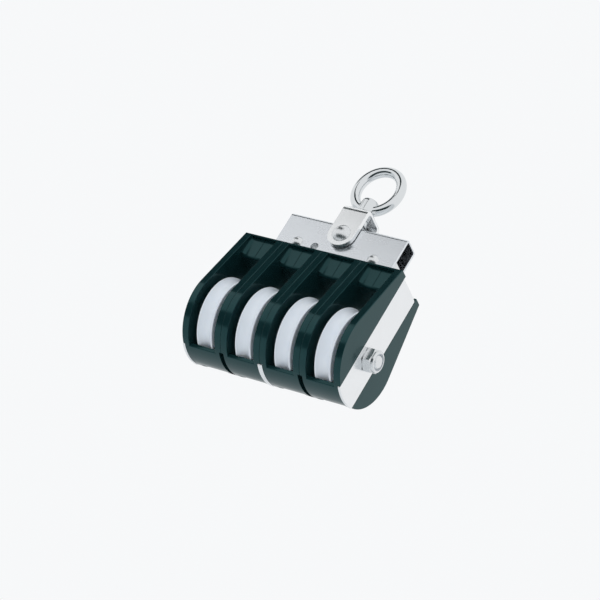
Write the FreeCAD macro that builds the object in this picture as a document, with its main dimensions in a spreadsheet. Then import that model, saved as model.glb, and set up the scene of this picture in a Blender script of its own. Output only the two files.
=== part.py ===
import FreeCAD, Part
import math
import os
import re
import Sketcher

# Four-sheave rope block with a swivel eye.
# The origin is the centre of the eye's ring. Z points up out of the eye, X runs along
# the axle and Y runs from the front of the block to its back. All lengths are millimetres.

os.makedirs("parts", exist_ok=True)
doc = FreeCAD.newDocument("RopeBlock")
sheet = doc.addObject("Spreadsheet::Sheet", "Sizes")

SHELL_COUNT = 4

# Driving sizes: name, value and what it measures.
SIZES = {
    # Swivel eye
    "eye_rise": (18.0, "ring centre above the clevis top"),
    "eye_half_width": (13.5, "ring centreline, sideways"),
    "eye_stretch": (1.2, "ring centreline, half height beyond half width"),
    "eye_side_ease": (1.3, "radius of the ring's sides beyond its half height"),
    "eye_wire": (6.2, "thickness of the ring's round section"),
    "collar_diameter": (10.8, "boss between ring and clevis"),
    "collar_height": (10.0, "boss height above the clevis"),
    "collar_round": (1.6, "rounding of the boss's top edge"),
    "shank_diameter": (7.4, "shank that turns in the clevis"),
    "shank_head": (9.6, "peened end of the shank, across"),
    "shank_head_height": (3.4, "peened end of the shank, deep"),
    "shank_head_round": (1.4, "rounding of the peened end"),
    "swivel_gap": (0.1, "end play on each side of the clevis plate"),
    "swivel_clearance": (0.08, "shank to its hole, on the radius"),
    "washer_diameter": (10.0, "washer over the peened end, across"),
    "washer_plate": (1.0, "thickness of that washer"),
    # Clevis
    "clevis_width": (17.0, "clevis, side to side"),
    "clevis_plate": (2.8, "thickness of the clevis plate"),
    "clevis_bend": (2.0, "inside radius of the clevis bends"),
    "clevis_corner": (2.0, "rounding of the clevis's upper corners"),
    "clevis_rise": (21.0, "clevis top above the pivot"),
    "clevis_side_gap": (0.5, "clevis leg to the head channel"),
    # Pivot
    "pivot_diameter": (8.0, "pivot rivet, shank"),
    "pivot_head": (11.2, "pivot rivet, domed head, across"),
    "pivot_dome": (2.9, "pivot rivet, domed head, height"),
    "pivot_clearance": (0.05, "pivot rivet in the head channel, on the radius"),
    "pivot_rise": (18.0, "pivot above the straps"),
    "pivot_sleeve": (11.6, "spacer round the pivot in the channel, across"),
    "fast_clearance": (0.02, "a fixed round piece in its hole, on the radius"),
    # Head channel
    "channel_length": (79.0, "head channel, along the axle"),
    "channel_width": (13.0, "head channel, over its flanges"),
    "channel_height": (26.6, "head channel, foot to top"),
    "channel_plate": (1.5, "thickness of the channel's sheet"),
    "channel_bend": (1.0, "inside radius of the channel's bends"),
    "channel_corner": (1.2, "rounding of the channel's upper end edges"),
    "bar_height": (10.4, "tie bar between the flanges"),
    "rivet_inset": (13.8, "each head rivet from its end of the channel"),
    "rivet_rise": (7.6, "head rivets above the straps"),
    "rivet_shank": (4.0, "head rivets, shank"),
    "rivet_head": (7.2, "head rivets, domed head, across"),
    "rivet_dome": (2.1, "head rivets, domed head, height"),
    "becket_offset": (13.6, "becket hole from the middle"),
    "becket_rise": (7.4, "becket hole above the straps"),
    "becket_hole": (4.6, "becket hole, across"),
    "screw_diameter": (4.0, "strap screws, thread"),
    "screw_bite": (5.0, "strap screws, depth in the tie bar"),
    "screw_head": (7.0, "strap screws, head, across"),
    "screw_head_height": (2.6, "strap screws, head, height"),
    "screw_inset": (5.5, "strap screws from their shell's middle"),
    # Straps
    "strap_width": (20.0, "strap, front to back"),
    "strap_plate": (1.5, "thickness of the strap"),
    "strap_bend": (1.5, "inside radius of the strap's bends"),
    "strap_rise": (50.5, "top of the straps above the axle"),
    "strap_overhang": (0.5, "straps' rounded ends below the shells' lower arc"),
    "strap_side_gap": (0.2, "strap to each side of its recess"),
    # Shells
    "shell_width": (26.5, "one shell, side face to side face"),
    "shell_radius": (27.8, "lower arc of a shell, about the axle"),
    "shell_top_half": (16.0, "half the depth of a shell at its top"),
    "cheek": (4.25, "wall of a shell on each side of the sheave"),
    "rim_round": (0.4, "rounding of a shell's outer rims"),
    "window_round": (0.3, "rounding of the rims next to the sheave"),
    "base_half": (9.0, "half the depth of a shell's bottom bar"),
    "base_wall": (2.1, "thickness of a shell's bottom bar"),
    "bridge_rise": (36.0, "underside of a shell's top bridge above the axle"),
    "bridge_inset": (2.4, "bridge face behind the front and back of a shell's top"),
    "bridge_lip": (1.2, "lip left above the bridge face"),
    "bridge_corner": (2.4, "rounding where the bridge face meets the cheeks"),
    "bridge_edge": (1.5, "rounding of the bridge's lower edges"),
    "relief_length": (18.0, "relief for the screw heads, sideways"),
    "relief_width": (9.0, "relief for the screw heads, front to back"),
    "relief_depth": (3.2, "relief for the screw heads, depth"),
    # Sheaves and their sleeves
    "sheave_tip_gap": (0.7, "sheave's rim to the shell's bottom bar"),
    "sheave_side_gap": (0.5, "sheave to each cheek"),
    "groove_depth": (2.6, "rope groove below the flanges"),
    "flange_inset": (3.2, "flanges from the hub's face"),
    "flange_flat": (1.1, "width of each flange's edge"),
    "flange_round": (0.4, "rounding of the flanges' outer corners"),
    "hub_radius": (10.5, "sheave hub"),
    "web_inset": (5.1, "web of the sheave below the hub's face"),
    "flange_band": (5.4, "flange outside the sheave's web, measured on the radius"),
    "web_slope": (1.5, "slope at each side of the web, measured on the radius"),
    "sheave_clearance": (0.1, "sheave on its sleeve, on the radius"),
    "sleeve_diameter": (12.0, "sleeve that a sheave turns on"),
    # Axle bolt and lock nut
    "axle_diameter": (8.0, "axle bolt, shank"),
    "axle_clearance": (0.1, "axle bolt in its holes, on the radius"),
    "hex_flats": (13.0, "bolt head and nut, across flats"),
    "bolt_head_height": (5.3, "bolt head"),
    "bolt_end": (0.2, "end of the bolt beyond the nut"),
    "bolt_chamfer": (0.8, "chamfer at the bolt's end"),
    "hex_chamfer": (0.55, "chamfer of the hexagons' corners, along the axle"),
    "nut_hex_height": (5.0, "hexagon of the lock nut"),
    "nut_height": (6.6, "lock nut with its collar"),
    "nut_collar": (12.4, "collar of the lock nut, across"),
    "nut_collar_round": (1.0, "rounding of the nut's collar"),
    "insert_diameter": (10.4, "ring in the lock nut, across"),
    "insert_height": (1.2, "ring in the lock nut, thickness"),
    "nut_lip": (0.4, "crimped lip that holds the ring"),
    "nut_lip_bore": (9.6, "opening of that lip, across"),
}

# Levels, each worked out from the sizes above it.
CLEVIS_TOP = "-eye_rise"
PIVOT = "(-eye_rise - clevis_rise)"
STRAP_TOP = "(-eye_rise - clevis_rise - pivot_rise)"
AXLE = "(-eye_rise - clevis_rise - pivot_rise - strap_rise)"
BLOCK_HALF = "%d * shell_width" % (SHELL_COUNT // 2)
WINDOW = "(shell_width - 2 * cheek)"
FAR = "(shell_radius + strap_rise)"
RIVET_OFFSET = "(channel_length / 2 - rivet_inset)"
STRAP_END = "(shell_radius + strap_overhang)"
BRIDGE_FACE = "(shell_top_half - bridge_inset)"
SHEAVE = "(shell_radius - base_wall - sheave_tip_gap)"
WEB = "(shell_radius - base_wall - sheave_tip_gap - flange_band)"

PARTS = []


def fill_sheet():
    """Write every driving size into the sheet, one row each."""
    for row, (name, (value, note)) in enumerate(SIZES.items(), start=1):
        sheet.set("A%d" % row, name)
        sheet.set("B%d" % row, str(value))
        sheet.setAlias("B%d" % row, name)
        sheet.set("C%d" % row, note)
    doc.recompute()


def formula(text):
    """Turn the size names in a formula into references to the sheet."""
    return re.sub(r"[a-z][a-z_]+[a-z]", refer, text)


def refer(match):
    """Give one word of a formula as the sheet knows it."""
    word = match.group()
    return "Sizes." + word if word in SIZES else word


def measure(text):
    """Present value of a formula, in millimetres."""
    return float(sheet.evalExpression(formula(text)))


def bind(item, **formulas):
    """Tie properties of an object to formulas."""
    for name, text in formulas.items():
        item.setExpression(name, formula(text))


def new_body(label, x="0", y="0", z="0", turn=None):
    """Start a body with its own label and place, and list it as a sub-part."""
    body = doc.addObject("PartDesign::Body", label)
    body.Label = label
    if turn is not None:
        body.Placement = FreeCAD.Placement(FreeCAD.Vector(), turn)
    for axis, text in zip("xyz", (x, y, z)):
        body.setExpression("Placement.Base." + axis, formula(text))
    PARTS.append(body)
    return body


def attach(body, name, plane):
    """Open a sketch on one of the body's own origin planes."""
    sketch = body.newObject("Sketcher::SketchObject", name)
    for feature in body.Origin.OriginFeatures:
        if feature.Role == plane:
            sketch.AttachmentSupport = [(feature, "")]
    sketch.MapMode = "FlatFace"
    return sketch


def dimension(sketch, kind, text, *where):
    """Add one driving dimension bound to a formula."""
    index = sketch.addConstraint(Sketcher.Constraint(kind, *where, measure(text)))
    sketch.setExpression("Constraints[%d]" % index, formula(text))


def pin(sketch, edge, point, x, y):
    """Fix a point of an edge at a place given by two formulas."""
    dimension(sketch, "DistanceX", x, -1, 1, edge, point)
    dimension(sketch, "DistanceY", y, -1, 1, edge, point)


def arc_between(start, end, radius, side):
    """Arc under half a turn from start to end, with its centre on the left or right."""
    chord = end - start
    across = FreeCAD.Vector(-chord.y, chord.x, 0).normalize()
    height = math.sqrt(max(radius ** 2 - (chord.Length / 2) ** 2, 0.0))
    sign = 1 if side == "left" else -1
    centre = (start + end) * 0.5 + across * (sign * height)
    circle = Part.Circle(centre, FreeCAD.Vector(0, 0, 1), radius)
    first, last = (start, end) if side == "left" else (end, start)
    angles = [math.atan2(point.y - centre.y, point.x - centre.x) for point in (first, last)]
    if angles[1] < angles[0]:
        angles[1] += 2 * math.pi
    return Part.ArcOfCircle(circle, angles[0], angles[1])


def loop(sketch, corners):
    """Draw a closed loop through corners given as formulas.

    A corner is (x, y), reached by a straight edge, or (x, y, radius, side), reached by
    an arc whose centre lies on that side of the way.
    """
    points = [FreeCAD.Vector(measure(c[0]), measure(c[1]), 0) for c in corners]
    ends = []
    for index, corner in enumerate(corners):
        start, end = points[index - 1], points[index]
        if len(corner) == 2:
            edge = sketch.addGeometry(Part.LineSegment(start, end), False)
            ends.append((edge, 1, 2))
        else:
            arc = arc_between(start, end, measure(corner[2]), corner[3])
            edge = sketch.addGeometry(arc, False)
            ends.append((edge, 1, 2) if corner[3] == "left" else (edge, 2, 1))
    for index, corner in enumerate(corners):
        edge, _, last = ends[index]
        following, first, _ = ends[(index + 1) % len(ends)]
        sketch.addConstraint(Sketcher.Constraint("Coincident", edge, last, following, first))
        pin(sketch, edge, last, corner[0], corner[1])
        if len(corner) > 2:
            dimension(sketch, "Radius", corner[2], edge)


def drawing(body, name, plane, *loops):
    """Make a sketch of one or more closed loops."""
    sketch = attach(body, name, plane)
    for corners in loops:
        loop(sketch, corners)
    return sketch


def rectangle(left, right, low, high):
    """Corners of an upright rectangle."""
    return [(left, low), (right, low), (right, high), (left, high)]


def circles(body, name, plane, diameter, places):
    """Make a sketch of equal circles."""
    sketch = attach(body, name, plane)
    for x, y in places:
        centre = FreeCAD.Vector(measure(x), measure(y), 0)
        circle = Part.Circle(centre, FreeCAD.Vector(0, 0, 1), measure(diameter) / 2)
        edge = sketch.addGeometry(circle, False)
        pin(sketch, edge, 3, x, y)
        dimension(sketch, "Diameter", diameter, edge)
    return sketch


def pad(body, sketch, length):
    """Thicken a sketch to both sides of its plane."""
    feature = body.newObject("PartDesign::Pad", sketch.Name + "Pad")
    feature.Profile = sketch
    feature.SideType = "Symmetric"
    bind(feature, Length=length)
    doc.recompute()
    return feature


def must_shrink(body, before):
    """Stop if a cut took nothing away."""
    if not body.Shape.Volume < before - 1e-6:
        raise RuntimeError("a cut in %s removes nothing" % body.Label)


def one_way(body, kind, sketch, length, reverse):
    """Pad or pocket a sketch to one side of its plane."""
    before = body.Shape.Volume if body.Tip else 0.0
    feature = body.newObject("PartDesign::" + kind, sketch.Name + kind)
    feature.Profile = sketch
    feature.Reversed = reverse
    bind(feature, Length=length)
    doc.recompute()
    if kind == "Pocket":
        must_shrink(body, before)
    return feature


def cut(body, sketch, length=FAR + " * 2"):
    """Cut a sketch away to both sides of its plane."""
    before = body.Shape.Volume
    feature = body.newObject("PartDesign::Pocket", sketch.Name + "Cut")
    feature.Profile = sketch
    feature.SideType = "Symmetric"
    bind(feature, Length=length)
    doc.recompute()
    must_shrink(body, before)
    return feature


def spin(body, kind, sketch, axis):
    """Revolve a sketch, or groove the body with it, about a sketch axis."""
    before = body.Shape.Volume if body.Tip else 0.0
    feature = body.newObject("PartDesign::" + kind, sketch.Name + kind)
    feature.Profile = sketch
    feature.ReferenceAxis = (sketch, [axis])
    feature.Angle = 360
    doc.recompute()
    if kind == "Groove":
        must_shrink(body, before)
    return feature


def edges_where(feature, test):
    """Names of the feature's edges whose every sampled point passes a test."""
    names = []
    for number, edge in enumerate(feature.Shape.Edges, start=1):
        if all(test(point) for point in edge.discretize(5)):
            names.append("Edge%d" % number)
    if not names:
        raise RuntimeError("no edge to round on %s" % feature.Name)
    return names


def fillet(body, name, radius, test):
    """Round the edges of the body's last feature that pass a test."""
    base = body.Tip
    feature = body.newObject("PartDesign::Fillet", name)
    feature.Base = (base, edges_where(base, test))
    bind(feature, Radius=radius)
    doc.recompute()
    return feature


def near(value, target, slack=1e-4):
    """Tell whether two lengths are equal."""
    return abs(value - target) < slack


def turned(label, plane, axis, corners, **place):
    """One turned piece: a half section revolved about its axis."""
    body = new_body(label, **place)
    spin(body, "Revolution", drawing(body, label + "Section", plane, corners), axis)
    return body


def dome_radius(head, height):
    """Radius of a dome with a given width and height."""
    return "((({0}) / 2) ^ 2 + ({1}) ^ 2) / (2 * ({1}))".format(head, height)


def rivet_section(grip, shank, head, dome):
    """Half section of a rivet along the sketch's first axis, domed at both ends."""
    radius = dome_radius(head, dome)
    return [
        ("-(%s) / 2 - %s" % (grip, dome), "0"),
        ("-(%s) / 2" % grip, "%s / 2" % head, radius, "right"),
        ("-(%s) / 2" % grip, "%s / 2" % shank),
        ("(%s) / 2" % grip, "%s / 2" % shank),
        ("(%s) / 2" % grip, "%s / 2" % head),
        ("(%s) / 2 + %s" % (grip, dome), "0", radius, "right"),
    ]


def folded_section(width, height, plate):
    """Section of a sheet folded into an upside-down U, standing on its first axis."""
    outer = "(%s) / 2" % width
    inner = "((%s) / 2 - %s)" % (width, plate)
    under = "(%s - %s)" % (height, plate)
    return [
        ("-" + outer, "0"),
        ("-" + inner, "0"),
        ("-" + inner, under),
        (inner, under),
        (inner, "0"),
        (outer, "0"),
        (outer, height),
        ("-" + outer, height),
    ]


def hexagon(flats):
    """Corners of a hexagon with two flats parallel to the sketch's second axis."""
    half = "%s / 2" % flats
    tip = "%s / sqrt(3)" % flats
    side = "%s / (2 * sqrt(3))" % flats
    return [
        (half, side),
        ("0", tip),
        ("-" + half, side),
        ("-" + half, "-" + side),
        ("0", "-" + tip),
        (half, "-" + side),
    ]


def ring_arc(name, turn, axis, reach, centre, angle):
    """Stretch of round bar, bent about a line that runs front to back."""
    section = doc.addObject("Part::Circle", name + "Section")
    section.Placement.Rotation = FreeCAD.Rotation(FreeCAD.Vector(0, 1, 0), turn)
    section.setExpression("Placement.Base." + axis, formula(reach))
    bind(section, Radius="eye_wire / 2")
    arc = doc.addObject("Part::Revolution", name)
    arc.Source = section
    arc.Axis = FreeCAD.Vector(0, 1, 0)
    arc.setExpression("Base." + axis, formula(centre))
    bind(arc, Angle=angle)
    arc.Symmetric = True
    arc.Solid = True
    return arc


def make_ring():
    """Four tangent arcs of round bar that close into an oval."""
    side_centre = "(eye_stretch + eye_side_ease)"
    end_centre = "(eye_stretch + eye_stretch ^ 2 / (2 * eye_side_ease))"
    half_height = "(eye_half_width + eye_stretch)"
    half_angle = "atan(%s / %s)" % (end_centre, side_centre)
    arcs = []
    for name, sign in (("Right", ""), ("Left", "-")):
        other = "" if sign else "-"
        arcs.append(ring_arc("Ring" + name, 0, "x", sign + "eye_half_width", other + side_centre,
                             "2 * " + half_angle))
    for name, sign in (("Top", ""), ("Bottom", "-")):
        arcs.append(ring_arc("Ring" + name, 90, "z", sign + half_height, sign + end_centre,
                             "180 deg - 2 * " + half_angle))
    return arcs


def make_swivel_eye():
    """Forged eye: an oval ring, a boss and a shank peened over its washer."""
    arcs = make_ring()
    foot = "(-eye_rise + swivel_gap)"
    head_top = "(-eye_rise - clevis_plate - swivel_gap - washer_plate)"
    head_low = "(-eye_rise - clevis_plate - swivel_gap - washer_plate - shank_head_height)"
    stem = doc.addObject("PartDesign::Body", "Stem")
    section = drawing(stem, "StemSection", "XZ_Plane", [
        ("0", head_low),
        ("shank_head / 2 - shank_head_round", head_low),
        ("shank_head / 2", head_low + " + shank_head_round", "shank_head_round", "left"),
        ("shank_head / 2", head_top),
        ("shank_diameter / 2", head_top),
        ("shank_diameter / 2", foot),
        ("collar_diameter / 2", foot),
        ("collar_diameter / 2", "-eye_rise + collar_height - collar_round"),
        ("collar_diameter / 2 - collar_round", "-eye_rise + collar_height", "collar_round", "left"),
        ("0", "-eye_rise + collar_height"),
    ])
    spin(stem, "Revolution", section, "V_Axis")
    eye = doc.addObject("Part::MultiFuse", "swivel_eye")
    eye.Label = "swivel_eye"
    eye.Shapes = arcs + [stem]
    PARTS.append(eye)


def make_eye_washer():
    """Washer between the clevis and the peened end."""
    top = "(-swivel_gap)"
    low = "(-swivel_gap - washer_plate)"
    inner = "shank_diameter / 2 + fast_clearance"
    corners = rectangle(inner, "washer_diameter / 2", low, top)
    turned("eye_washer", "XZ_Plane", "V_Axis", corners, z=CLEVIS_TOP + " - clevis_plate")


def make_clevis():
    """Plate folded over the head channel, rounded about the pivot."""
    width = "channel_width + 2 * clevis_side_gap + 2 * clevis_plate"
    body = new_body("clevis", z=PIVOT)
    section = [
        (x, y if y != "0" else "-clevis_width / 2")
        for x, y in folded_section(width, "clevis_rise", "clevis_plate")
    ]
    pad(body, drawing(body, "ClevisFold", "YZ_Plane", section), "clevis_width")
    outer, inner = measure(width) / 2, measure(width) / 2 - measure("clevis_plate")
    rise, plate = measure("clevis_rise"), measure("clevis_plate")
    fillet(body, "ClevisOuterBends", "clevis_bend + clevis_plate",
           lambda p: near(abs(p.y), outer) and near(p.z, rise))
    fillet(body, "ClevisInnerBends", "clevis_bend",
           lambda p: near(abs(p.y), inner) and near(p.z, rise - plate))
    half = "clevis_width / 2"
    cut(body, drawing(body, "ClevisEnds", "XZ_Plane", [
        ("-" + half, "0"),
        ("0", "-" + half, half, "left"),
        (half, "0", half, "left"),
        ("clevis_width", "0"),
        ("clevis_width", "-clevis_width"),
        ("-clevis_width", "-clevis_width"),
        ("-clevis_width", "0"),
    ]))
    side = measure(half)
    fillet(body, "ClevisCorners", "clevis_corner",
           lambda p: near(abs(p.x), side) and near(p.z, rise))
    cut(body, circles(body, "ClevisPivot", "XZ_Plane", "pivot_diameter + 2 * fast_clearance", [("0", "0")]))
    shank = circles(body, "ClevisShank", "XY_Plane", "shank_diameter + 2 * swivel_clearance", [("0", "0")])
    cut(body, shank)


def make_clevis_rivet():
    """Pivot of the clevis, domed at both ends."""
    grip = "channel_width + 2 * clevis_side_gap + 2 * clevis_plate"
    corners = rivet_section(grip, "pivot_diameter", "pivot_head", "pivot_dome")
    turned("clevis_rivet", "YZ_Plane", "H_Axis", corners, z=PIVOT)


def make_pivot_sleeve():
    """Spacer tube that keeps the flanges apart round the pivot."""
    half = "(channel_width / 2 - channel_plate)"
    inner = "pivot_diameter / 2 + pivot_clearance"
    corners = rectangle("-" + half, half, inner, "pivot_sleeve / 2")
    turned("pivot_sleeve", "YZ_Plane", "H_Axis", corners, z=PIVOT)


def make_head_channel():
    """Sheet folded over the tie bar, standing on the straps."""
    body = new_body("head_channel", z=STRAP_TOP)
    section = folded_section("channel_width", "channel_height", "channel_plate")
    pad(body, drawing(body, "ChannelFold", "YZ_Plane", section), "channel_length")
    outer, plate = measure("channel_width / 2"), measure("channel_plate")
    height, end = measure("channel_height"), measure("channel_length / 2")
    fillet(body, "ChannelOuterBends", "channel_bend + channel_plate",
           lambda p: near(abs(p.y), outer) and near(p.z, height))
    fillet(body, "ChannelInnerBends", "channel_bend",
           lambda p: near(abs(p.y), outer - plate) and near(p.z, height - plate))
    fillet(body, "ChannelEnds", "channel_corner",
           lambda p: near(abs(p.x), end) and near(p.z, height))
    cross_holes(body)
    pivot = "pivot_diameter + 2 * pivot_clearance"
    cut(body, circles(body, "ChannelPivot", "XZ_Plane", pivot, [("0", "pivot_rise")]))


def cross_holes(body):
    """Cut the head rivets' holes and the becket hole through a piece on the straps."""
    places = [("-" + RIVET_OFFSET, "rivet_rise"), (RIVET_OFFSET, "rivet_rise")]
    rivet = "rivet_shank + 2 * fast_clearance"
    cut(body, circles(body, body.Label + "Rivets", "XZ_Plane", rivet, places))
    becket = [("-becket_offset", "becket_rise")]
    cut(body, circles(body, body.Label + "Becket", "XZ_Plane", "becket_hole", becket))


def screw_places():
    """Places of the strap screws along the block, one over each shell."""
    return [shell_middle(index) + (" + " if index < SHELL_COUNT // 2 else " - ") + "screw_inset"
            for index in range(SHELL_COUNT)]


def make_tie_bar():
    """Solid bar between the flanges, screwed to the straps from below."""
    body = new_body("tie_bar", z=STRAP_TOP)
    half = "(channel_width / 2 - channel_plate)"
    section = rectangle("-" + half, half, "0", "bar_height")
    pad(body, drawing(body, "BarSection", "YZ_Plane", section), "channel_length")
    cross_holes(body)
    places = [(x, "0") for x in screw_places()]
    taps = circles(body, "BarTaps", "XY_Plane", "screw_diameter + 2 * fast_clearance", places)
    one_way(body, "Pocket", taps, "screw_bite + screw_diameter / 4", True)


def make_head_rivets():
    """Two rivets through the channel and the tie bar."""
    corners = rivet_section("channel_width", "rivet_shank", "rivet_head", "rivet_dome")
    for label, x in (("head_rivet_left", "-" + RIVET_OFFSET), ("head_rivet_right", RIVET_OFFSET)):
        turned(label, "YZ_Plane", "H_Axis", corners, x=x, z=STRAP_TOP + " + rivet_rise")


def make_strap_screws():
    """Screws that hold the straps to the tie bar, heads down, as one group."""
    under = "-strap_plate"
    screws = []
    for number, x in enumerate(screw_places(), start=1):
        stem = doc.addObject("Part::Cylinder", "ScrewStem%d" % number)
        bind(stem, Radius="screw_diameter / 2", Height="strap_plate + screw_bite")
        head = doc.addObject("Part::Cylinder", "ScrewHead%d" % number)
        bind(head, Radius="screw_head / 2", Height="screw_head_height")
        for piece, z in ((stem, under), (head, under + " - screw_head_height")):
            piece.setExpression("Placement.Base.x", formula(x))
            piece.setExpression("Placement.Base.z", formula(z))
        screw = doc.addObject("Part::Fuse", "Screw%d" % number)
        screw.Base = stem
        screw.Tool = head
        screws.append(screw)
    group = doc.addObject("Part::Compound", "strap_screws")
    group.Label = "strap_screws"
    group.Links = screws
    group.setExpression("Placement.Base.z", formula(STRAP_TOP))
    PARTS.append(group)


def make_strap(label, side):
    """One strap over two shells; side is 1 on the right and -1 on the left."""
    turn = FreeCAD.Rotation(FreeCAD.Vector(0, 0, 1), 0 if side > 0 else 180)
    middle = "%d * shell_width * %d / 2" % (side, SHELL_COUNT // 2)
    body = new_body(label, x=middle, z=AXLE, turn=turn)
    width = "%d * shell_width" % (SHELL_COUNT // 2)
    section = [
        (x, y if y != "0" else "-" + STRAP_END)
        for x, y in folded_section(width, "strap_rise", "strap_plate")
    ]
    pad(body, drawing(body, label + "Fold", "XZ_Plane", section), "strap_width")
    outer, plate, rise = measure(width) / 2, measure("strap_plate"), measure("strap_rise")
    fillet(body, label + "OuterBends", "strap_bend + strap_plate",
           lambda p: near(abs(p.x), outer) and near(p.z, rise))
    fillet(body, label + "InnerBends", "strap_bend",
           lambda p: near(abs(p.x), outer - plate) and near(p.z, rise - plate))
    reach = "strap_width * 0.6"
    level = "-sqrt(%s ^ 2 - (%s) ^ 2)" % (STRAP_END, reach)
    cut(body, drawing(body, label + "Ends", "YZ_Plane", [
        ("-" + reach, level),
        (reach, level, STRAP_END, "left"),
        (reach, "-%s * 2" % STRAP_END),
        ("-" + reach, "-%s * 2" % STRAP_END),
    ]))
    axle = "axle_diameter + 2 * axle_clearance"
    cut(body, circles(body, label + "Axle", "YZ_Plane", axle, [("0", "0")]))
    near_inside = "-%s / 2 + shell_width / 2 - screw_inset" % width
    near_outside = "%s / 2 - shell_width / 2 - screw_inset" % width
    screws = circles(body, label + "Screws", "XY_Plane", "screw_diameter + 2 * fast_clearance",
                     [(near_inside, "0"), (near_outside, "0")])
    one_way(body, "Pocket", screws, "strap_rise * 2", True)


def shell_middle(index):
    """Place of one shell's middle along the axle."""
    return "%g * shell_width" % (index - (SHELL_COUNT - 1) / 2)


def flank_angle():
    """Angle above the horizontal at which a flank touches the shell's lower arc."""
    half, top = measure("shell_top_half"), measure("strap_rise")
    return math.atan2(top, half) - math.acos(measure("shell_radius") / math.hypot(half, top))


def on_shell_outline(point):
    """Tell whether a point lies on a flank or on the lower arc of a shell."""
    radius, angle = measure("shell_radius"), flank_angle()
    if point.z < radius * math.sin(angle):
        return near(math.hypot(point.y, point.z), radius)
    return near(abs(point.y) * math.cos(angle) + point.z * math.sin(angle), radius)


def shell_outline(body, name):
    """Side view of a shell: an arc about the axle with a tangent flank on each side."""
    radius, half, top = measure("shell_radius"), measure("shell_top_half"), measure("strap_rise")
    angle = flank_angle()
    touch = FreeCAD.Vector(radius * math.cos(angle), radius * math.sin(angle), 0)
    touch_left = FreeCAD.Vector(-touch.x, touch.y, 0)
    corner, corner_left = FreeCAD.Vector(half, top, 0), FreeCAD.Vector(-half, top, 0)
    sketch = attach(body, name, "YZ_Plane")
    circle = Part.Circle(FreeCAD.Vector(), FreeCAD.Vector(0, 0, 1), radius)
    arc = sketch.addGeometry(Part.ArcOfCircle(circle, math.pi - angle, 2 * math.pi + angle), False)
    right = sketch.addGeometry(Part.LineSegment(touch, corner), False)
    crown = sketch.addGeometry(Part.LineSegment(corner, corner_left), False)
    left = sketch.addGeometry(Part.LineSegment(corner_left, touch_left), False)
    sketch.addConstraint(Sketcher.Constraint("Coincident", arc, 3, -1, 1))
    dimension(sketch, "Radius", "shell_radius", arc)
    sketch.addConstraint(Sketcher.Constraint("Tangent", arc, 2, right, 1))
    sketch.addConstraint(Sketcher.Constraint("Coincident", right, 2, crown, 1))
    sketch.addConstraint(Sketcher.Constraint("Coincident", crown, 2, left, 1))
    sketch.addConstraint(Sketcher.Constraint("Tangent", left, 2, arc, 1))
    pin(sketch, crown, 1, "shell_top_half", "strap_rise")
    pin(sketch, crown, 2, "-shell_top_half", "strap_rise")
    return sketch


def make_shell(index):
    """One moulded shell: two cheeks, a top bridge and a bottom bar."""
    label = "shell_%d" % (index + 1)
    body = new_body(label, x=shell_middle(index), z=AXLE)
    pad(body, shell_outline(body, label + "Outline"), "shell_width")
    side, top = measure("shell_width / 2"), measure("strap_rise")
    depth = measure("shell_top_half")
    fillet(body, label + "Rims", "rim_round", lambda p: near(abs(p.x), side) and on_shell_outline(p)
           or near(abs(p.y), depth) and near(p.z, top))

    inside = "(shell_radius - base_wall)"
    level = "-sqrt(%s ^ 2 - base_half ^ 2)" % inside
    cut(body, drawing(body, label + "Window", "YZ_Plane", [
        ("-base_half", level),
        ("base_half", level, inside, "left"),
        ("base_half", "-" + FAR),
        (FAR, "-" + FAR),
        (FAR, "bridge_rise + bridge_edge"),
        (BRIDGE_FACE, "bridge_rise + bridge_edge"),
        (BRIDGE_FACE + " - bridge_edge", "bridge_rise", "bridge_edge", "right"),
        ("bridge_edge - " + BRIDGE_FACE, "bridge_rise"),
        ("-" + BRIDGE_FACE, "bridge_rise + bridge_edge", "bridge_edge", "right"),
        ("-" + FAR, "bridge_rise + bridge_edge"),
        ("-" + FAR, "-" + FAR),
        ("-base_half", "-" + FAR),
    ]), WINDOW)

    low, high = "bridge_rise - bridge_lip", "strap_rise - bridge_lip"
    cut(body, drawing(body, label + "Faces", "YZ_Plane",
                      rectangle("-" + FAR, "-" + BRIDGE_FACE, low, high),
                      rectangle(BRIDGE_FACE, FAR, low, high)), WINDOW)
    wall, face = measure(WINDOW) / 2, measure(BRIDGE_FACE)
    fillet(body, label + "WindowRims", "window_round",
           lambda p: near(abs(p.x), wall) and on_shell_outline(p))
    fillet(body, label + "FaceCorners", "bridge_corner",
           lambda p: near(abs(p.x), wall) and near(abs(p.y), face))

    slot = "strap_width + 2 * strap_side_gap"
    outer, inner = "shell_width", "(shell_width / 2 - strap_plate)"
    seat = "(strap_rise - strap_plate)"
    cut(body, drawing(body, label + "StrapSeat", "XZ_Plane", [
        ("-" + outer, "-" + FAR),
        ("-" + inner, "-" + FAR),
        ("-" + inner, seat),
        (inner, seat),
        (inner, "-" + FAR),
        (outer, "-" + FAR),
        (outer, FAR),
        ("-" + outer, FAR),
    ]), slot)
    seat_x, seat_z = measure(inner), measure(seat)
    fillet(body, label + "SeatCorners", "strap_bend + strap_side_gap",
           lambda p: near(abs(p.x), seat_x) and near(p.z, seat_z))

    axle = "axle_diameter + 2 * axle_clearance"
    cut(body, circles(body, label + "Axle", "YZ_Plane", axle, [("0", "0")]))
    relief = drawing(body, label + "Relief", "XZ_Plane",
                     rectangle("-relief_length / 2", "relief_length / 2",
                               seat + " - relief_depth", "strap_rise"))
    cut(body, relief, "relief_width")


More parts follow.
